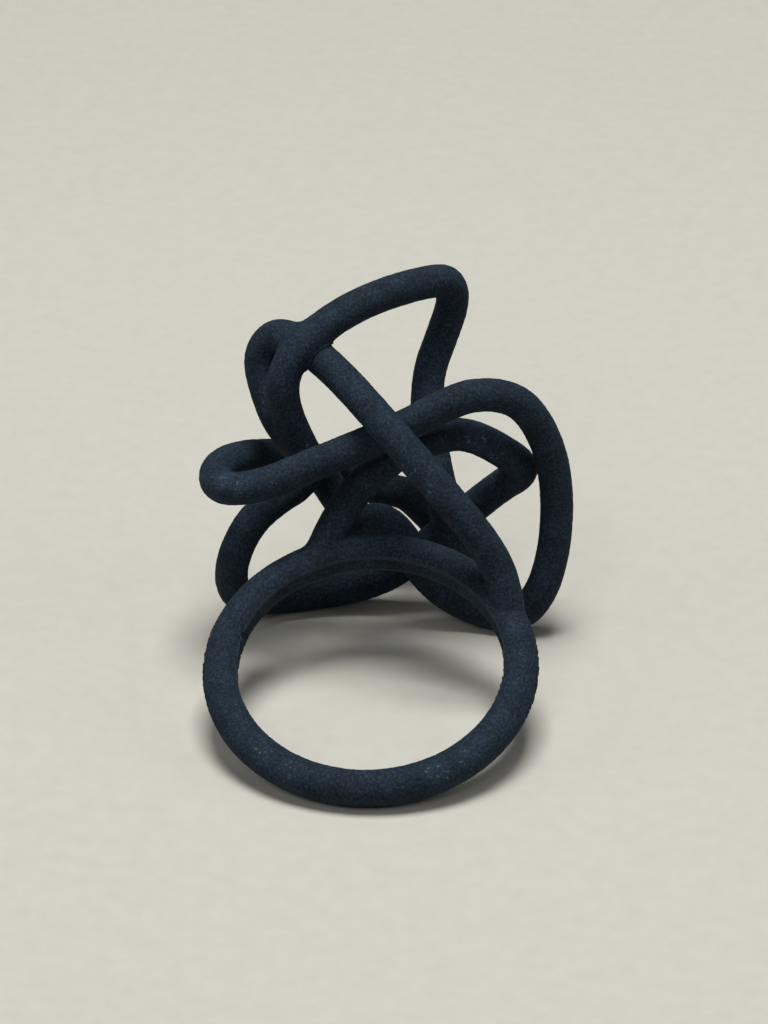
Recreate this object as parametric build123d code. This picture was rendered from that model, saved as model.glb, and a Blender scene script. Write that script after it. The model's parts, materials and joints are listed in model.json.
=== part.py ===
from build123d import *
from math import cos, radians, sin, tan
import os

# A finger ring printed in nylon: a slim round band, and above the finger an open
# tangle made by one long rod that leaves the band's right shoulder, wanders round
# itself and comes back to the left shoulder.
#
# Millimetres, +Z up, as the ring lies on a table. The origin is the centre of the
# finger bore. +X is to the ring's right and +Y runs away from the near arc of the
# band towards the tangle.

# Driving dimensions
BORE_DIAMETER = 17.3        # finger size: 17.3 mm across
BORE_FACE_WIDTH = 1.2       # flat of the band against the finger
BAND_OUTER_DIAMETER = 21.74
BAND_TILT = 20.0            # degrees that the band's plane rises towards the tangle
ROD_DIAMETER = 2.2
ARC_REACH = 0.45            # share of a run that the arc at its end may take up
FINGER_REACH = 30.0         # length of the finger's clear way, each side of the band

BORE_RADIUS = BORE_DIAMETER / 2
ROD_RADIUS = ROD_DIAMETER / 2
WALL = BAND_OUTER_DIAMETER / 2 - BORE_RADIUS
# A round section cut flat on the finger's side: its radius follows from the wall
# and from the width of the flat.
SECTION_RADIUS = (WALL**2 + (BORE_FACE_WIDTH / 2) ** 2) / (2 * WALL)
SECTION_CENTRE = BAND_OUTER_DIAMETER / 2 - SECTION_RADIUS

# The rod's route from the right shoulder to the left one, in named strands. Each
# strand runs from half way along the run before its first point to half way along
# the run after its last.
STRANDS = {
    "front_arch": [
        (8.5, 4.5, 1.6), (8.1, 5.8, 3.7), (6.5, 6.1, 6.6), (3.4, 6.8, 10.0),
        (0.1, 8.6, 12.8), (-3.4, 12.1, 14.5), (-5.6, 14.1, 15.2),
    ],
    "ear_loop": [(-6.5, 14.6, 15.6), (-8.3, 15.0, 16.1), (-9.5, 14.9, 14.3), (-8.8, 14.0, 12.0)],
    "inner_slope": [
        (-7.7, 12.8, 10.2), (-5.2, 14.1, 6.0), (-3.9, 13.5, 4.4), (-2.8, 12.9, 3.1),
        (-1.0, 13.5, 3.4), (0.5, 13.3, 2.0),
    ],
    "right_foot": [(1.3, 13.1, 0.1), (3.2, 13.2, -2.1), (5.4, 13.4, -3.3), (7.6, 13.1, -3.5)],
    "right_bow": [
        (9.0, 13.1, -2.8), (10.1, 13.5, -0.7), (10.6, 14.4, 2.4), (10.5, 14.9, 6.3),
        (9.7, 14.7, 9.7), (8.2, 14.1, 12.5),
    ],
    "cross_bar": [
        (6.1, 13.4, 13.4), (3.9, 12.7, 13.2), (0.5, 11.2, 11.5), (-5.2, 8.9, 9.6), (-8.0, 7.8, 8.6),
    ],
    "left_loop": [(-10.3, 7.5, 8.2), (-11.5, 8.8, 7.9), (-11.7, 10.7, 8.0), (-10.6, 12.6, 7.8)],
    "back_slope": [
        (-8.8, 15.7, 6.4), (-6.2, 17.9, 5.0), (-4.2, 18.7, 4.1), (-2.4, 18.8, 2.3),
        (-0.4, 19.5, 2.1), (1.3, 19.5, 0.4),
    ],
    "low_hook": [
        (2.6, 19.4, -1.0), (3.7, 17.8, -1.9), (4.3, 15.2, -1.3), (4.2, 13.4, 0.9), (3.3, 14.0, 3.4),
    ],
    "rear_post": [(2.2, 16.3, 6.0), (1.3, 18.5, 8.6), (1.2, 20.3, 10.9)],
    "crown_bend": [(2.0, 21.5, 13.2), (2.7, 22.1, 15.5), (2.4, 21.7, 17.2), (1.1, 20.6, 17.6)],
    "crown_arch": [(-1.4, 18.2, 17.8), (-3.7, 15.8, 17.6), (-5.6, 14.0, 16.7)],
    "left_stem": [(-7.0, 12.8, 15.4), (-7.6, 12.1, 13.5), (-7.0, 12.1, 10.9)],
    "left_bend": [(-5.7, 12.2, 8.0), (-6.2, 11.8, 6.5), (-7.9, 11.1, 5.6)],
    "left_bow": [(-9.6, 10.3, 4.0), (-10.7, 9.9, 1.3), (-10.8, 10.5, -1.3), (-9.8, 11.8, -2.8)],
    "left_foot": [(-8.3, 13.3, -3.3), (-5.1, 14.6, -3.5), (-1.0, 15.2, -2.5), (1.9, 15.9, 0.2)],
    "right_spur": [(6.5, 16.6, 4.6), (8.1, 16.0, 6.0), (8.0, 15.2, 7.4), (4.7, 14.5, 9.7)],
    "shoulder_strut": [(2.7, 13.6, 9.8), (0.1, 12.6, 9.0), (-3.3, 10.1, 6.3), (-4.6, 8.0, 2.9)],
}

# Strands that the print fused where they cross: the second one stays whole.
FUSED_CROSSINGS = [
    ("front_arch", "crown_arch"), ("front_arch", "left_stem"), ("ear_loop", "crown_arch"),
    ("ear_loop", "left_stem"), ("inner_slope", "left_stem"), ("inner_slope", "left_bend"),
]

TILT = radians(BAND_TILT)
FINGER_AXIS = Vector(0, -sin(TILT), cos(TILT))
BORE_PLANE = Plane(origin=(0, 0, 0), x_dir=(1, 0, 0), z_dir=FINGER_AXIS)


def finger_band():
    """The band: a ring of round section with a flat face against the finger."""
    section = Plane.XZ * Pos(SECTION_CENTRE, 0) * Circle(SECTION_RADIUS)
    ring = revolve(section, Axis.Z)
    return BORE_PLANE * (ring - Cylinder(BORE_RADIUS, 2 * SECTION_RADIUS))


def finger_space():
    """The way that the finger takes through the band, kept clear of every strand."""
    return BORE_PLANE * Cylinder(BORE_RADIUS, 2 * FINGER_REACH)


def bend_radius(before, corner, after):
    """The radius of the arc that rounds a corner of the route."""
    arriving = corner - before
    leaving = after - corner
    shorter = min(arriving.length, leaving.length)
    turn = radians(arriving.get_angle(leaving))
    return ARC_REACH * shorter / tan(turn / 2)


def strand_path(before, corners, after):
    """Straight runs joined by tangent arcs through one strand's corners."""
    route = [point for point in (before, *corners, after) if point is not None]
    inner = range(1, len(route) - 1)
    radii = [bend_radius(route[i - 1], route[i], route[i + 1]) for i in inner]
    start = (before + corners[0]) / 2 if before is not None else corners[0]
    end = (corners[-1] + after) / 2 if after is not None else corners[-1]
    return FilletPolyline(start, *route[1:-1], end, radius=radii)


def rod(path):
    """A round rod that follows a path."""
    start = Plane(origin=path @ 0, z_dir=path % 0)
    return sweep(start * Circle(ROD_RADIUS), path=path)


def largest(shape):
    """The main solid of a cut rod, without the chips that the cut leaves."""
    return max(shape.solids(), key=lambda solid: solid.volume)


def tangle_strands():
    """Every strand of the tangle as a whole rod, in the order of the route."""
    names = list(STRANDS)
    corners = {name: [Vector(*point) for point in STRANDS[name]] for name in names}
    rods = {}
    for place, name in enumerate(names):
        before = corners[names[place - 1]][-1] if place > 0 else None
        after = corners[names[place + 1]][0] if place + 1 < len(names) else None
        rods[name] = rod(strand_path(before, corners[name], after))
    return rods


def ring_parts():
    """The band and the strands, cut so that they meet face to face."""
    band = finger_band()
    parts = {"finger_band": band}
    rods = tangle_strands()
    for name in ("front_arch", "shoulder_strut"):
        rods[name] = largest(rods[name] - band - finger_space())
    for cut, whole in FUSED_CROSSINGS:
        rods[cut] = largest(rods[cut] - rods[whole])
    parts.update(rods)
    return parts


os.makedirs("parts", exist_ok=True)
for name, part in ring_parts().items():
    export_step(part, f"parts/{name}.step")
    print(name, round(part.volume, 1), "mm3")
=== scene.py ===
import json
from math import cos, radians, sin

import bpy
import numpy as np
from mathutils import Matrix, Vector


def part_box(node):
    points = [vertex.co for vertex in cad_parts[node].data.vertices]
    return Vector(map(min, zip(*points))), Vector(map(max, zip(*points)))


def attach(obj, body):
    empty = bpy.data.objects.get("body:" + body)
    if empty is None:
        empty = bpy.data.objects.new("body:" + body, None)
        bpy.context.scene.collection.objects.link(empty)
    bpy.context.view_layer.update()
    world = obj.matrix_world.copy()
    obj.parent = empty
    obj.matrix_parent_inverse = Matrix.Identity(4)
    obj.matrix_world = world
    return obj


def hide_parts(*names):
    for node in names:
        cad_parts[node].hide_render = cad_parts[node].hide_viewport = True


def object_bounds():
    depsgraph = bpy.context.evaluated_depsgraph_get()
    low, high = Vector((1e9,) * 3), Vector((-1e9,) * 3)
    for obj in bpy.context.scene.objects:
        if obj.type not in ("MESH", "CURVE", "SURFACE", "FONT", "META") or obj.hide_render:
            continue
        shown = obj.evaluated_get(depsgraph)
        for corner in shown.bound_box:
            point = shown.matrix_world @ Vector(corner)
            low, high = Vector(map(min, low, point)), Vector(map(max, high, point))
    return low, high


# A finger ring printed in nylon and dyed a very dark navy: a slim round band, and above
# the finger an open tangle of the same rod. Metres, +Z up, origin in the finger bore.
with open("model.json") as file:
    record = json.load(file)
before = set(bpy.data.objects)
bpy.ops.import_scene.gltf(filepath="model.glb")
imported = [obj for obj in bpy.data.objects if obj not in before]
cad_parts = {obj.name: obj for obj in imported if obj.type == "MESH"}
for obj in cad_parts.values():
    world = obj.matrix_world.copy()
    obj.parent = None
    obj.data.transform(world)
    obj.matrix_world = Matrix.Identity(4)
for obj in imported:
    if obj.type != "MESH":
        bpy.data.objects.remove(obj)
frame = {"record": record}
cad_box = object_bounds()
mount = frame["record"]["mounts"][0]

# Sizes from the frame
BORE_RADIUS = mount["dims"]["r_mm"] / 1000
BORE_FACE_WIDTH = mount["dims"]["length_mm"] / 1000
FINGER_AXIS = Vector(mount["axis"])
band_low, band_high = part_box("finger_band")
BAND_RADIUS = (band_high.x - band_low.x) / 2
WALL = BAND_RADIUS - BORE_RADIUS
SECTION_RADIUS = (WALL**2 + (BORE_FACE_WIDTH / 2) ** 2) / (2 * WALL)
SECTION_CENTRE = BAND_RADIUS - SECTION_RADIUS

# The rod
ROD_RADIUS = 0.0011
RING_SPACING = 0.000075     # between two rings of the rod's mesh
RING_POINTS = 92
ROUTE_FINENESS = 24         # points of the smooth line for each point of the route
JOINT_OVERLAP = 0.00006     # each strand runs this far into the next
END_SLIMMING = 270.0        # share of the radius that a metre of overlap would take off
CUT_CLEARANCE = 0.00005     # a strand cut by the finger's way lies this deep in the band

# The print's relief
GRAIN_SIZE = 0.00021        # the fused powder grains
GRAIN_HEIGHT = 0.000024
GRAIN_SEED = 7.0
FINE_SHARE = 2.6            # of the grain's height, in the fine bumps
SLOW_SHARE = 2.2            # and in the slow unevenness under them
SLOW_RATE = 0.16            # the unevenness changes this much more slowly
LAYER_HEIGHT = 0.0001       # the print's layers, which lie square to X
LAYER_WANDER = 1.6          # how many layers a step strays by
WANDER_RATE = 2200.0        # how quickly it strays
LAYER_FADE = 9.0            # how quickly the steps fade where the face turns from X
BAND_STEPS = 1.1            # share of a layer that shows as a step on the band
STRAND_STEPS = 0.15         # and on the strands

# The rod's route, strand by strand. Each strand runs from half way along the run before
# its first point to half way along the run after its last.
STRANDS = {
    "front_arch": [
        (0.0085, 0.0045, 0.0016), (0.0081, 0.0058, 0.0037), (0.0065, 0.0061, 0.0066),
        (0.0034, 0.0068, 0.0100), (0.0001, 0.0086, 0.0128), (-0.0034, 0.0121, 0.0145),
        (-0.0056, 0.0141, 0.0152),
    ],
    "ear_loop": [
        (-0.0065, 0.0146, 0.0156), (-0.0083, 0.0150, 0.0161), (-0.0095, 0.0149, 0.0143),
        (-0.0088, 0.0140, 0.0120),
    ],
    "inner_slope": [
        (-0.0077, 0.0128, 0.0102), (-0.0052, 0.0141, 0.0060), (-0.0039, 0.0135, 0.0044),
        (-0.0028, 0.0129, 0.0031), (-0.0010, 0.0135, 0.0034), (0.0005, 0.0133, 0.0020),
    ],
    "right_foot": [
        (0.0013, 0.0131, 0.0001), (0.0032, 0.0132, -0.0021), (0.0054, 0.0134, -0.0033),
        (0.0076, 0.0131, -0.0035),
    ],
    "right_bow": [
        (0.0090, 0.0131, -0.0028), (0.0101, 0.0135, -0.0007), (0.0106, 0.0144, 0.0024),
        (0.0105, 0.0149, 0.0063), (0.0097, 0.0147, 0.0097), (0.0082, 0.0141, 0.0125),
    ],
    "cross_bar": [
        (0.0061, 0.0134, 0.0134), (0.0039, 0.0127, 0.0132), (0.0005, 0.0112, 0.0115),
        (-0.0052, 0.0089, 0.0096), (-0.0080, 0.0078, 0.0086),
    ],
    "left_loop": [
        (-0.0103, 0.0075, 0.0082), (-0.0115, 0.0088, 0.0079), (-0.0117, 0.0107, 0.0080),
        (-0.0106, 0.0126, 0.0078),
    ],
    "back_slope": [
        (-0.0088, 0.0157, 0.0064), (-0.0062, 0.0179, 0.0050), (-0.0042, 0.0187, 0.0041),
        (-0.0024, 0.0188, 0.0023), (-0.0004, 0.0195, 0.0021), (0.0013, 0.0195, 0.0004),
    ],
    "low_hook": [
        (0.0026, 0.0194, -0.0010), (0.0037, 0.0178, -0.0019), (0.0043, 0.0152, -0.0013),
        (0.0042, 0.0134, 0.0009), (0.0033, 0.0140, 0.0034),
    ],
    "rear_post": [
        (0.0022, 0.0163, 0.0060), (0.0013, 0.0185, 0.0086), (0.0012, 0.0203, 0.0109),
    ],
    "crown_bend": [
        (0.0020, 0.0215, 0.0132), (0.0027, 0.0221, 0.0155), (0.0024, 0.0217, 0.0172),
        (0.0011, 0.0206, 0.0176),
    ],
    "crown_arch": [
        (-0.0014, 0.0182, 0.0178), (-0.0037, 0.0158, 0.0176), (-0.0056, 0.0140, 0.0167),
    ],
    "left_stem": [
        (-0.0070, 0.0128, 0.0154), (-0.0076, 0.0121, 0.0135), (-0.0070, 0.0121, 0.0109),
    ],
    "left_bend": [
        (-0.0057, 0.0122, 0.0080), (-0.0062, 0.0118, 0.0065), (-0.0079, 0.0111, 0.0056),
    ],
    "left_bow": [
        (-0.0096, 0.0103, 0.0040), (-0.0107, 0.0099, 0.0013), (-0.0108, 0.0105, -0.0013),
        (-0.0098, 0.0118, -0.0028),
    ],
    "left_foot": [
        (-0.0083, 0.0133, -0.0033), (-0.0051, 0.0146, -0.0035), (-0.0010, 0.0152, -0.0025),
        (0.0019, 0.0159, 0.0002),
    ],
    "right_spur": [
        (0.0065, 0.0166, 0.0046), (0.0081, 0.0160, 0.0060), (0.0080, 0.0152, 0.0074),
        (0.0047, 0.0145, 0.0097),
    ],
    "shoulder_strut": [
        (0.0027, 0.0136, 0.0098), (0.0001, 0.0126, 0.0090), (-0.0033, 0.0101, 0.0063),
        (-0.0046, 0.0080, 0.0029),
    ],
}

# The finish
DYE_DEEP = (0.0042, 0.0083, 0.0148, 1.0)
DYE_WORN = (0.0196, 0.0368, 0.0600, 1.0)
POWDER = (0.09, 0.125, 0.145, 1.0)
PATCH_SIZE = 0.0011         # the dye's cloudy patches
SPECKLE_SIZE = 0.00017      # its finest mottling
DUST_SIZE = 0.00022         # the pale specks
TABLE_LOW = (0.43, 0.425, 0.38, 1.0)
TABLE_HIGH = (0.49, 0.483, 0.44, 1.0)
TABLE_GRAIN = 0.0012

# Where the dye is rubbed on the band: how far round from its right side, in degrees, and
# the reach of the rub
BAND_RUBS = [(-125, 0.0013), (-113, 0.0013), (-58, 0.0014), (-45, 0.0014)]
BAND_RUB_LEAN = 55          # degrees from the section's outer edge towards its upper side

# Where it is rubbed on a strand: a point of the strand's route, how many runs further on,
# the side of the rod, and the reach
STRAND_RUBS = [
    ("cross_bar", 3, 1.5, (0.0, -0.57, 0.82), 0.0009),
    ("left_loop", 0, 0.2, (0.0, -0.34, 0.94), 0.0012),
    ("right_spur", 2, 0.85, (0.0, -0.95, 0.30), 0.0014),
    ("right_spur", 2, 0.42, (0.0, -0.95, 0.30), 0.0013),
    ("front_arch", 3, 0.45, (-0.25, -0.95, -0.15), 0.0012),
    ("front_arch", 3, 0.0, (-0.25, -0.95, -0.15), 0.0013),
]

RIM_WEAR_AND_HIGHLIGHT_REACH = 0.00022           # reach of the pale band along the bore's rims: a painted highlight on their lit edges, partly real wear
# The rims' pale colour: a painted highlight on the lit edges, partly real wear
RIM_WEAR_AND_HIGHLIGHT = (0.039, 0.056, 0.067, 1.0)
# A small dark spot coloured onto the band's left shoulder
DARK_SPOT_TURN = 170              # the dark spot's way round the band's upper rim, in degrees
DARK_SPOT_REACH = 0.00028
DARK_SPOT_COLOUR = (0.0008, 0.0012, 0.0020, 1.0)

# The view
VIEW_AZIMUTH = 7.5
VIEW_ELEVATION = 30.3
VIEW_DISTANCE = 0.3
VIEW_RIGHT = 0.000865       # how far the view's middle lies beside the origin
VIEW_UP = 0.01008           # and above it
VIEW_LENS = 163.05

# Where the print has welded the rod to what it crosses: one side, the other side, and
# how far from the crease the weld reaches.
WELDS = [
    (("ear_loop",), ("crown_arch", "left_stem"), 0.0012),
    (("inner_slope",), ("left_stem", "left_bend"), 0.0009),
    (("front_arch",), ("crown_arch", "left_stem"), 0.0003),
    (("shoulder_strut",), ("finger_band",), 0.0004),
]
WELD_PASSES = 4
WELD_STEP = 0.125           # share of the reach that one pass may move a point
LEAST_SLOPE = 0.2
BATCH = 2000                # points measured at a time


# ---------------------------------------------------------------- node helpers

def add_node(tree, kind, inputs=(), **settings):
    """A node with its settings made and its inputs linked or set, by name or number."""
    node = tree.nodes.new(kind)
    for name, value in settings.items():
        setattr(node, name, value)
    for name, value in dict(inputs).items():
        if isinstance(value, bpy.types.NodeSocket):
            tree.links.new(value, node.inputs[name])
        else:
            node.inputs[name].default_value = value
    return node


def number(tree, operation, *values, clamp=False):
    """One sum on numbers."""
    node = add_node(tree, "ShaderNodeMath", enumerate(values), operation=operation, use_clamp=clamp)
    return node.outputs[0]


def vector(tree, operation, *values):
    """One sum on vectors, which gives a vector."""
    node = add_node(tree, "ShaderNodeVectorMath", enumerate(values), operation=operation)
    return node.outputs["Vector"]


def square(tree, value):
    """A number times itself."""
    return number(tree, "MULTIPLY", value, value)


def dot(tree, first, second):
    """How far one vector points along another."""
    node = add_node(tree, "ShaderNodeVectorMath", {0: first, 1: second}, operation="DOT_PRODUCT")
    return node.outputs["Value"]


def times(tree, direction, amount):
    """A vector made longer by a number."""
    node = add_node(tree, "ShaderNodeVectorMath", {0: direction, "Scale": amount}, operation="SCALE")
    return node.outputs["Vector"]


# ---------------------------------------------------------------- the printed rod's tree

ROD_INPUTS = {
    "Rod Radius": ("NodeSocketFloat", ROD_RADIUS),
    "Ring Spacing": ("NodeSocketFloat", RING_SPACING),
    "Ring Points": ("NodeSocketInt", RING_POINTS),
    "Grain Size": ("NodeSocketFloat", GRAIN_SIZE),
    "Grain Height": ("NodeSocketFloat", GRAIN_HEIGHT),
    "Layer Height": ("NodeSocketFloat", LAYER_HEIGHT),
    "Layer Share": ("NodeSocketFloat", STRAND_STEPS),
    "Joint Overlap": ("NodeSocketFloat", JOINT_OVERLAP),
    "Finger Axis": ("NodeSocketVector", tuple(FINGER_AXIS)),
    "Finger Radius": ("NodeSocketFloat", BORE_RADIUS),
    "Grain Seed": ("NodeSocketFloat", GRAIN_SEED),
    "Finish": ("NodeSocketMaterial", None),
}
BAND_INPUTS = {
    "Rod Radius": SECTION_RADIUS, "Finger Radius": BORE_RADIUS,
    "Layer Share": BAND_STEPS, "Joint Overlap": 0.0,
}
STRAND_INPUTS = {"Finger Radius": BORE_RADIUS + CUT_CLEARANCE}


def clear_finger_way(tree, solid, axis, radius):
    """Pushes whatever stands in the finger's way out to the bore's face, and tells which it was."""
    place = add_node(tree, "GeometryNodeInputPosition").outputs[0]
    along = times(tree, axis, dot(tree, place, axis))
    outward = vector(tree, "SUBTRACT", place, along)
    reach = add_node(tree, "ShaderNodeVectorMath", {0: outward}, operation="LENGTH").outputs["Value"]
    short = number(tree, "MAXIMUM", number(tree, "SUBTRACT", radius, reach), 0.0)
    push = times(tree, vector(tree, "NORMALIZE", outward), short)
    flat = add_node(tree, "GeometryNodeCaptureAttribute", {"Geometry": solid}, domain="POINT")
    flat.capture_items.new("FLOAT", "Flat")
    tree.links.new(number(tree, "GREATER_THAN", short, 0.0), flat.inputs["Flat"])
    cleared = add_node(
        tree, "GeometryNodeSetPosition", {"Geometry": flat.outputs["Geometry"], "Offset": push}
    ).outputs[0]
    return cleared, flat.outputs["Flat"]


def overlap_joints(tree, line, overlap):
    """Runs both ends of a line a hair further and slims them there, to sit inside the next rod."""
    ends = add_node(
        tree, "GeometryNodeCurveEndpointSelection", {"Start Size": 1, "End Size": 1}
    ).outputs[0]
    last = add_node(
        tree, "GeometryNodeCurveEndpointSelection", {"Start Size": 0, "End Size": 1}
    ).outputs[0]
    side = number(tree, "SUBTRACT", number(tree, "MULTIPLY", last, 2.0), 1.0)
    tangent = add_node(tree, "GeometryNodeInputTangent").outputs[0]
    push = times(tree, tangent, number(tree, "MULTIPLY", side, overlap))
    longer = add_node(
        tree, "GeometryNodeSetPosition", {"Geometry": line, "Selection": ends, "Offset": push}
    ).outputs[0]
    slim = number(tree, "SUBTRACT", 1.0, number(tree, "MULTIPLY", overlap, END_SLIMMING))
    return add_node(
        tree, "GeometryNodeSetCurveRadius", {"Curve": longer, "Selection": ends, "Radius": slim}
    ).outputs[0]


def seeded_noise(tree, place, seed, rate, detail):
    """Noise that another seed would draw anew, from 0 to 1."""
    return add_node(
        tree, "ShaderNodeTexNoise",
        {"Vector": place, "W": seed, "Scale": rate, "Detail": detail}, noise_dimensions="4D",
    ).outputs[0]


def grain_relief(tree, place, size, height, seed):
    """The fused grains: fine bumps, with a slow unevenness under them."""
    fine = seeded_noise(tree, place, seed, number(tree, "DIVIDE", 1.0, size), 1.5)
    slow = seeded_noise(tree, place, seed, number(tree, "DIVIDE", SLOW_RATE, size), 1.0)
    fine_part = number(tree, "MULTIPLY", number(tree, "SUBTRACT", fine, 0.5), FINE_SHARE)
    slow_part = number(tree, "MULTIPLY", number(tree, "SUBTRACT", slow, 0.5), SLOW_SHARE)
    return number(tree, "MULTIPLY", number(tree, "ADD", fine_part, slow_part), height)


def layer_relief(tree, place, facing, height, share, seed):
    """The steps of the print's layers, which show where the face is nearly square to X."""
    wander = seeded_noise(tree, place, seed, WANDER_RATE, 0.0)
    x = add_node(tree, "ShaderNodeSeparateXYZ", {0: place}).outputs["X"]
    stray = number(tree, "MULTIPLY", wander, LAYER_WANDER)
    count = number(tree, "ADD", number(tree, "DIVIDE", x, height), stray)
    step = number(tree, "SUBTRACT", number(tree, "FLOOR", count), count)
    side = add_node(tree, "ShaderNodeSeparateXYZ", {0: facing}).outputs["X"]
    squareness = number(tree, "POWER", number(tree, "ABSOLUTE", side), LAYER_FADE)
    signed = number(tree, "MULTIPLY", number(tree, "ADD", step, 0.5), number(tree, "SIGN", side))
    rise = number(tree, "MULTIPLY", height, share)
    return number(tree, "MULTIPLY", number(tree, "MULTIPLY", signed, squareness), rise)


def printed_rod_tree():
    """Sweeps a round rod along a route, clears the finger's way and gives it the print's relief."""
    tree = bpy.data.node_groups.new("printed_rod", "GeometryNodeTree")
    tree.interface.new_socket("Route", in_out="INPUT", socket_type="NodeSocketGeometry")
    for name, (kind, value) in ROD_INPUTS.items():
        socket = tree.interface.new_socket(name, in_out="INPUT", socket_type=kind)
        if value is not None:
            socket.default_value = value
    tree.interface.new_socket("Rod", in_out="OUTPUT", socket_type="NodeSocketGeometry")
    given = add_node(tree, "NodeGroupInput").outputs

    even = add_node(
        tree, "GeometryNodeResampleCurve", {"Curve": given["Route"], "Length": given["Ring Spacing"]},
        mode="LENGTH",
    ).outputs[0]
    line = overlap_joints(tree, even, given["Joint Overlap"])
    heading = add_node(tree, "GeometryNodeCaptureAttribute", {"Geometry": line}, domain="POINT")
    heading.capture_items.new("VECTOR", "Heading")
    tangent = add_node(tree, "GeometryNodeInputTangent").outputs[0]
    tree.links.new(tangent, heading.inputs["Heading"])
    ring = add_node(
        tree, "GeometryNodeCurvePrimitiveCircle",
        {"Resolution": given["Ring Points"], "Radius": given["Rod Radius"]}, mode="RADIUS",
    ).outputs[0]
    rod = add_node(
        tree, "GeometryNodeCurveToMesh",
        {"Curve": heading.outputs["Geometry"], "Profile Curve": ring, "Fill Caps": True},
    ).outputs[0]
    rod, flat = clear_finger_way(tree, rod, given["Finger Axis"], given["Finger Radius"])

    along = heading.outputs["Heading"]
    face = add_node(tree, "GeometryNodeInputNormal").outputs[0]
    sideways = vector(tree, "SUBTRACT", face, times(tree, along, dot(tree, face, along)))
    facing = vector(tree, "NORMALIZE", sideways)
    place = add_node(tree, "GeometryNodeInputPosition").outputs[0]
    seed = given["Grain Seed"]
    grain = grain_relief(tree, place, given["Grain Size"], given["Grain Height"], seed)
    layers = layer_relief(tree, place, facing, given["Layer Height"], given["Layer Share"], seed)
    relief = number(tree, "ADD", grain, layers)
    in_grains = number(tree, "DIVIDE", relief, given["Grain Height"])
    marked = add_node(
        tree, "GeometryNodeStoreNamedAttribute",
        {"Geometry": rod, "Name": "relief", "Value": in_grains},
        data_type="FLOAT", domain="POINT",
    ).outputs[0]
    rough = add_node(
        tree, "GeometryNodeSetPosition", {"Geometry": marked, "Offset": times(tree, facing, relief)}
    ).outputs[0]

    corners = add_node(tree, "GeometryNodeInputMeshFaceNeighbors").outputs["Vertex Count"]
    is_wall = add_node(
        tree, "FunctionNodeCompare", {2: corners, 3: 5}, data_type="INT", operation="LESS_THAN"
    ).outputs[0]
    smooth = add_node(
        tree, "GeometryNodeSetShadeSmooth", {"Geometry": rough, "Shade Smooth": is_wall}
    ).outputs[0]
    from_rim = number(tree, "ABSOLUTE", number(tree, "SUBTRACT", flat, 0.5))
    off_rim = number(tree, "GREATER_THAN", from_rim, 0.4)
    edged = add_node(
        tree, "GeometryNodeSetShadeSmooth", {"Geometry": smooth, "Shade Smooth": off_rim}, domain="EDGE"
    ).outputs[0]
    real = add_node(tree, "GeometryNodeRealizeInstances", {"Geometry": edged}).outputs[0]
    finished = add_node(
        tree, "GeometryNodeSetMaterial", {"Geometry": real, "Material": given["Finish"]}
    ).outputs[0]
    add_node(tree, "NodeGroupOutput", {"Rod": finished})
    return tree


def set_inputs(modifier, values):
    """Sets a tree's inputs by their identifiers."""
    for item in modifier.node_group.interface.items_tree:
        if item.in_out == "INPUT" and item.name in values:
            modifier[item.identifier] = values[item.name]


# ---------------------------------------------------------------- routes and pieces

def halfway(first, second):
    """The point midway between two others."""
    return (Vector(first) + Vector(second)) / 2


def route_object(name, points, cyclic=False):
    """A smooth line whose corners are rounded by a spline of order 3."""
    line = bpy.data.curves.new(name + "_route", "CURVE")
    line.dimensions = "3D"
    line.twist_mode = "MINIMUM"
    line.resolution_u = ROUTE_FINENESS
    spline = line.splines.new("NURBS")
    spline.points.add(len(points) - 1)
    for point, place in zip(spline.points, points):
        point.co = (*place, 1.0)
    spline.order_u = 3
    spline.use_endpoint_u = not cyclic
    spline.use_cyclic_u = cyclic
    holder = bpy.data.objects.new(name + "_route", line)
    bpy.context.scene.collection.objects.link(holder)
    return holder


def strand_routes():
    """One route for each strand, each meeting the next half way along the run between them."""
    names = list(STRANDS)
    routes = {}
    for place, name in enumerate(names):
        points = [Vector(point) for point in STRANDS[name]]
        if place > 0:
            points.insert(0, halfway(STRANDS[names[place - 1]][-1], points[0]))
        if place + 1 < len(names):
            points.append(halfway(points[-1], STRANDS[names[place + 1]][0]))
        routes[name] = route_object(name, points)
    return routes


def band_place(turn, out, along=0.0):
    """A place on the band: degrees round it, out from the finger's axis and along that axis."""
    right = Vector((1, 0, 0))
    away = FINGER_AXIS.cross(right)
    spoke = cos(radians(turn)) * right + sin(radians(turn)) * away
    return out * spoke + along * FINGER_AXIS


def band_route(corners=72):
    """The circle that the middle of the band's section follows."""
    radius = SECTION_CENTRE / cos(radians(180 / corners))
    points = [band_place(360 * i / corners, radius) for i in range(corners)]
    return route_object("finger_band", points, True)


def centre_line(route):
    """The points of a route's smooth line."""
    evaluated = route.evaluated_get(bpy.context.evaluated_depsgraph_get())
    mesh = bpy.data.meshes.new_from_object(evaluated)
    points = np.empty(len(mesh.vertices) * 3)
    mesh.vertices.foreach_get("co", points)
    bpy.data.meshes.remove(mesh)
    return points.reshape(-1, 3)


def printed_rod(name, route, tree, finish, given):
    """A route turned into a plain mesh of rough printed rod."""
    modifier = route.modifiers.new("printed_rod", "NODES")
    modifier.node_group = tree
    set_inputs(modifier, {"Finish": finish, **given})
    route.data.update_tag()
    evaluated = route.evaluated_get(bpy.context.evaluated_depsgraph_get())
    mesh = bpy.data.meshes.new_from_object(evaluated)
    mesh.name = name
    bpy.data.objects.remove(route)
    piece = bpy.data.objects.new("nylon_" + name, mesh)
    bpy.context.scene.collection.objects.link(piece)
    return piece


# ---------------------------------------------------------------- welds

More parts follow.
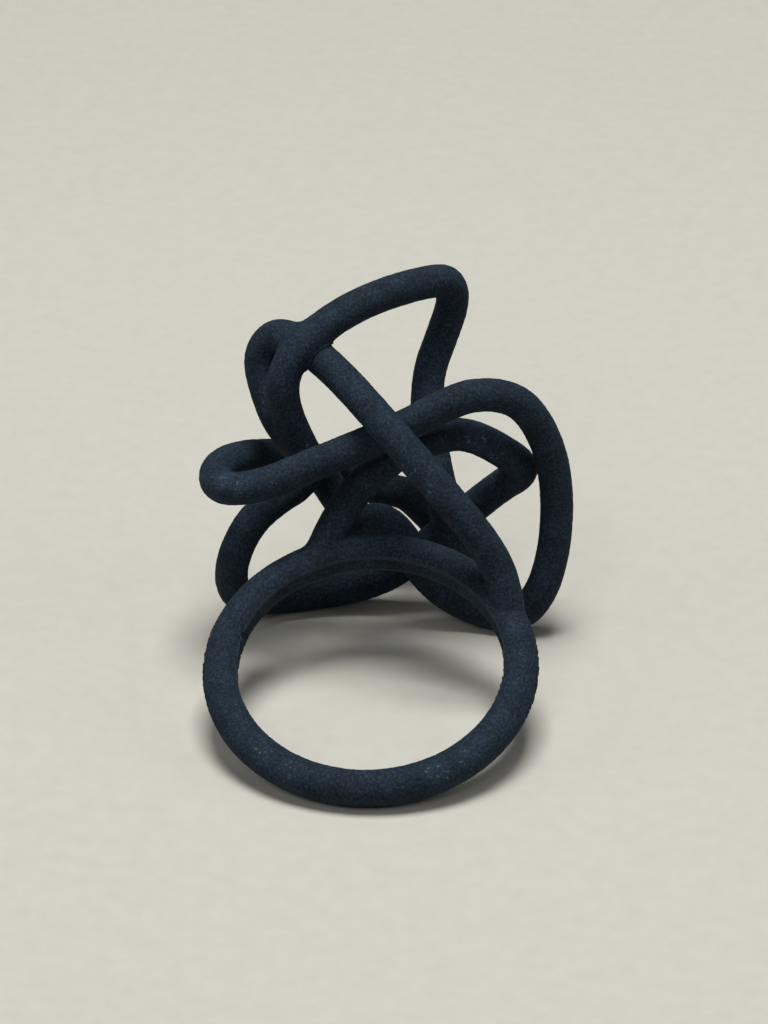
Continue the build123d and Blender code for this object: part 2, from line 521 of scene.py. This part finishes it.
def to_lines(points, lines):
    """Each point's distance to the nearest point of some centre lines, and the way from there."""
    nearest = np.full(len(points), np.inf)
    outward = np.zeros_like(points)
    for start in range(0, len(points), BATCH):
        part = points[start:start + BATCH]
        gap = part[:, None, :] - lines[None, :, :]
        length = np.linalg.norm(gap, axis=2)
        pick = length.argmin(axis=1)
        rows = np.arange(len(part))
        nearest[start:start + BATCH] = length[rows, pick]
        outward[start:start + BATCH] = gap[rows, pick] / length[rows, pick][:, None]
    return nearest, outward


def weld(piece, own, own_radius, other, other_radius, reach):
    """Raises a piece's surface near another one, so that a hollow fillet fills the crease."""
    mesh = piece.data
    points = np.empty(len(mesh.vertices) * 3)
    mesh.vertices.foreach_get("co", points)
    points = points.reshape(-1, 3)
    gap = to_lines(points, other)[0]
    near = np.abs(gap - other_radius) < reach
    if not near.any():
        return
    start = points[near]
    moved = start.copy()
    height = to_lines(start, own)[0] - own_radius
    for _ in range(WELD_PASSES):
        a, way_a = to_lines(moved, own)
        b, way_b = to_lines(moved, other)
        a -= own_radius
        b -= other_radius
        share = np.clip(1 - np.abs(a - b) / reach, 0, 1)
        level = np.minimum(a, b) - share**2 * reach / 4
        lean = np.where(a < b, 1 - share / 2, share / 2)[:, None]
        slope = lean * way_a + (1 - lean) * way_b
        step = (height - level) / np.maximum((slope**2).sum(axis=1), LEAST_SLOPE)
        step = np.clip(step, -WELD_STEP * reach, WELD_STEP * reach)
        moved += step[:, None] * slope
    inside = np.clip(1 + (gap[near] - other_radius) / (reach / 2), 0, 1)
    points[near] = start + (moved - start) * (inside**2 * (3 - 2 * inside))[:, None]
    mesh.vertices.foreach_set("co", points.ravel())
    mesh.update()


def weld_crossings(pieces, lines):
    """Fills the creases of every weld, from both sides."""
    radius = {name: ROD_RADIUS for name in pieces}
    radius["finger_band"] = SECTION_RADIUS
    for first, second, reach in WELDS:
        for here, there in ((first, second), (second, first)):
            own = np.concatenate([lines[name] for name in here])
            other = np.concatenate([lines[name] for name in there])
            for name in here:
                weld(pieces[name], own, radius[name], other, radius[there[0]], reach)


# ---------------------------------------------------------------- finishes

def shader(name):
    """A new material's tree, with its principled shader in place."""
    material = bpy.data.materials.new(name)
    material.use_nodes = True
    tree = material.node_tree
    tree.nodes.clear()
    skin = add_node(tree, "ShaderNodeBsdfPrincipled")
    add_node(tree, "ShaderNodeOutputMaterial", {"Surface": skin.outputs[0]})
    return material, tree, skin


def noise(tree, place, size, detail=2.0, roughness=0.5):
    """Noise whose patches are about one size across, from 0 to 1."""
    return add_node(
        tree, "ShaderNodeTexNoise",
        {"Vector": place, "Scale": 1 / size, "Detail": detail, "Roughness": roughness},
    ).outputs[0]


def spread(tree, value, low, high, to_low=0.0, to_high=1.0):
    """Stretches a range of numbers to another one, with soft ends."""
    return add_node(
        tree, "ShaderNodeMapRange",
        {"Value": value, "From Min": low, "From Max": high, "To Min": to_low, "To Max": to_high},
        interpolation_type="SMOOTHSTEP",
    ).outputs[0]


def blend(tree, share, first, second):
    """A colour between two, by a share."""
    mix = tree.nodes.new("ShaderNodeMix")
    mix.data_type = "RGBA"
    for socket, value in ((mix.inputs[0], share), (mix.inputs[6], first), (mix.inputs[7], second)):
        if isinstance(value, bpy.types.NodeSocket):
            tree.links.new(value, socket)
        else:
            socket.default_value = value
    return mix.outputs[2]


def rubbed_places():
    """The middle and the reach of every rubbed place on the band and on the strands."""
    lean = radians(BAND_RUB_LEAN)
    out = SECTION_CENTRE + SECTION_RADIUS * cos(lean)
    along = SECTION_RADIUS * sin(lean)
    places = [(band_place(turn, out, along), reach) for turn, reach in BAND_RUBS]
    for name, point, runs, side, reach in STRAND_RUBS:
        here = Vector(STRANDS[name][point])
        after = Vector(STRANDS[name][point + 1])
        middle = here + runs * (after - here) + ROD_RADIUS * Vector(side)
        places.append((middle, reach))
    return places


def rubbed_share(tree, place):
    """How much the dye has been rubbed pale here."""
    share = None
    for centre, reach in rubbed_places():
        gap = add_node(tree, "ShaderNodeVectorMath", {0: place, 1: centre}, operation="DISTANCE")
        here = spread(tree, gap.outputs["Value"], reach, 0.3 * reach)
        share = here if share is None else number(tree, "MAXIMUM", share, here)
    return share


def rim_wear_and_highlight_share(tree, place):
    """The pale band along the two rims of the bore's flat face: a painted highlight on the lit edges,
    partly real wear.
    """
    beside = number(tree, "ABSOLUTE", dot(tree, place, FINGER_AXIS))
    along = times(tree, tuple(FINGER_AXIS), dot(tree, place, FINGER_AXIS))
    outward = vector(tree, "SUBTRACT", place, along)
    reach = add_node(tree, "ShaderNodeVectorMath", {0: outward}, operation="LENGTH").outputs["Value"]
    rise = number(tree, "SUBTRACT", reach, BORE_RADIUS)
    shift = number(tree, "SUBTRACT", beside, BORE_FACE_WIDTH / 2)
    gap = number(tree, "SQRT", number(tree, "ADD", square(tree, rise), square(tree, shift)))
    return spread(tree, gap, RIM_WEAR_AND_HIGHLIGHT_REACH, 0.2 * RIM_WEAR_AND_HIGHLIGHT_REACH, 0.0, 0.8)


def dark_spot_share(tree, place):
    """A small dark spot coloured onto the band's left shoulder, with no hollow in the mesh."""
    dark_spot_middle = band_place(DARK_SPOT_TURN, BORE_RADIUS, BORE_FACE_WIDTH / 2)
    gap = add_node(tree, "ShaderNodeVectorMath", {0: place, 1: dark_spot_middle}, operation="DISTANCE")
    return spread(tree, gap.outputs["Value"], DARK_SPOT_REACH, 0.5 * DARK_SPOT_REACH)


def dyed_nylon():
    """Sintered nylon: matt fused grains, dyed navy, paler on the high grains and where rubbed, with a
    painted highlight along the bore's rims.
    """
    material, tree, skin = shader("dyed_nylon")
    place = add_node(tree, "ShaderNodeTexCoord").outputs["Object"]
    relief = add_node(tree, "ShaderNodeAttribute", attribute_name="relief").outputs["Fac"]
    patches = noise(tree, place, PATCH_SIZE, 3.0, 0.6)
    grains = noise(tree, place, SPECKLE_SIZE, 3.0, 0.65)
    height = number(tree, "ADD", number(tree, "MULTIPLY", relief, 0.08), grains)
    dye = blend(tree, spread(tree, height, 0.38, 0.74), DYE_DEEP, DYE_WORN)
    dye = blend(tree, spread(tree, patches, 0.45, 0.75, 0.0, 0.25), dye, DYE_WORN)
    rubbed = rubbed_share(tree, place)
    dye = blend(tree, number(tree, "MULTIPLY", rubbed, 0.25), dye, DYE_WORN)
    # painted highlight along the bore's rims, partly real wear
    dye = blend(tree, number(tree, "MULTIPLY", rim_wear_and_highlight_share(tree, place), 0.5), dye, RIM_WEAR_AND_HIGHLIGHT)
    dust = noise(tree, place, DUST_SIZE, 3.0, 0.65)
    limit = spread(tree, rubbed, 0.0, 1.0, 0.72, 0.57)
    speck = number(tree, "MULTIPLY", number(tree, "SUBTRACT", dust, limit), 7.0, clamp=True)
    colour = blend(tree, speck, dye, POWDER)
    # a small dark spot coloured onto the band's left shoulder
    colour = blend(tree, dark_spot_share(tree, place), colour, DARK_SPOT_COLOUR)
    tree.links.new(colour, skin.inputs["Base Color"])
    tree.links.new(spread(tree, grains, 0.2, 0.8, 0.78, 0.95), skin.inputs["Roughness"])
    bump = add_node(
        tree, "ShaderNodeBump", {"Height": grains, "Distance": 0.00005, "Strength": 0.9}
    ).outputs[0]
    tree.links.new(bump, skin.inputs["Normal"])
    skin.inputs["Specular IOR Level"].default_value = 0.18
    return material


def pale_table():
    """A plain pale surface with a very faint unevenness."""
    material, tree, skin = shader("pale_table")
    place = add_node(tree, "ShaderNodeTexCoord").outputs["Object"]
    grain = noise(tree, place, TABLE_GRAIN, 3.0, 0.6)
    tree.links.new(blend(tree, grain, TABLE_LOW, TABLE_HIGH), skin.inputs["Base Color"])
    skin.inputs["Roughness"].default_value = 0.75
    bump = add_node(tree, "ShaderNodeBump", {"Height": grain, "Distance": 0.00006, "Strength": 0.5})
    tree.links.new(bump.outputs[0], skin.inputs["Normal"])
    return material


# ---------------------------------------------------------------- the studio

def table_top(height):
    """The floor under the ring, wide enough for every view."""
    corners = [(-3, -3, height), (3, -3, height), (3, 3, height), (-3, 3, height)]
    mesh = bpy.data.meshes.new("table_top")
    mesh.from_pydata(corners, [], [(0, 1, 2, 3)])
    mesh.materials.append(pale_table())
    top = bpy.data.objects.new("table_top", mesh)
    bpy.context.scene.collection.objects.link(top)


def soft_light(name, place, width, watts, colour, aim=Vector((0, 0.006, 0.004))):
    """A square soft box that faces the ring."""
    lamp = bpy.data.lights.new(name, "AREA")
    lamp.size = width
    lamp.energy = watts
    lamp.color = colour
    holder = bpy.data.objects.new(name, lamp)
    holder.location = place
    holder.rotation_euler = (aim - Vector(place)).to_track_quat("-Z", "Y").to_euler()
    bpy.context.scene.collection.objects.link(holder)


def room_light(colour, strength):
    """Even light from all round."""
    world = bpy.data.worlds.new("room")
    world.use_nodes = True
    world.node_tree.nodes.clear()
    glow = add_node(world.node_tree, "ShaderNodeBackground", {"Color": colour, "Strength": strength})
    add_node(world.node_tree, "ShaderNodeOutputWorld", {"Surface": glow.outputs[0]})
    bpy.context.scene.world = world


def viewpoint():
    """The camera, a little to the right of the ring's middle and above it."""
    turn = radians(VIEW_AZIMUTH)
    rise = radians(VIEW_ELEVATION)
    right = Vector((cos(turn), sin(turn), 0))
    back = Vector((sin(turn) * cos(rise), -cos(turn) * cos(rise), sin(rise)))
    up = back.cross(right)
    lens = bpy.data.cameras.new("viewpoint")
    lens.sensor_fit = "VERTICAL"
    lens.sensor_height = 36.0
    lens.lens = VIEW_LENS
    lens.clip_start = 0.01
    camera = bpy.data.objects.new("viewpoint", lens)
    place = VIEW_RIGHT * right + VIEW_UP * up + VIEW_DISTANCE * back
    turned = Matrix((right, up, back)).transposed().to_4x4()
    camera.matrix_world = Matrix.Translation(place) @ turned
    bpy.context.scene.collection.objects.link(camera)
    bpy.context.scene.camera = camera


# ---------------------------------------------------------------- making the ring

viewpoint()
nylon = dyed_nylon()
rod_tree = printed_rod_tree()
routes = strand_routes()
routes["finger_band"] = band_route()
lines = {name: centre_line(route) for name, route in routes.items()}
pieces = {}
for name, route in routes.items():
    given = BAND_INPUTS if name == "finger_band" else STRAND_INPUTS
    pieces[name] = printed_rod(name, route, rod_tree, nylon, given)
weld_crossings(pieces, lines)
for name, piece in pieces.items():
    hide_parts(name)
    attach(piece, "root")

table_top(cad_box[0].z)
soft_light("overhead", (0.0, 0.04, 0.45), 0.19, 2.45, (1.0, 0.99, 0.96))
soft_light("front_box", (-0.12, -0.55, 0.55), 0.30, 1.0, (1.0, 0.99, 0.97))
soft_light("left_box", (-0.55, -0.15, 0.35), 0.35, 0.55, (1.0, 0.98, 0.95))
soft_light("right_box", (0.60, -0.05, 0.38), 0.35, 0.6, (0.97, 0.98, 1.0))
room_light((0.93, 0.95, 1.0, 1.0), 0.065)
bpy.context.scene.view_settings.view_transform = "Standard"
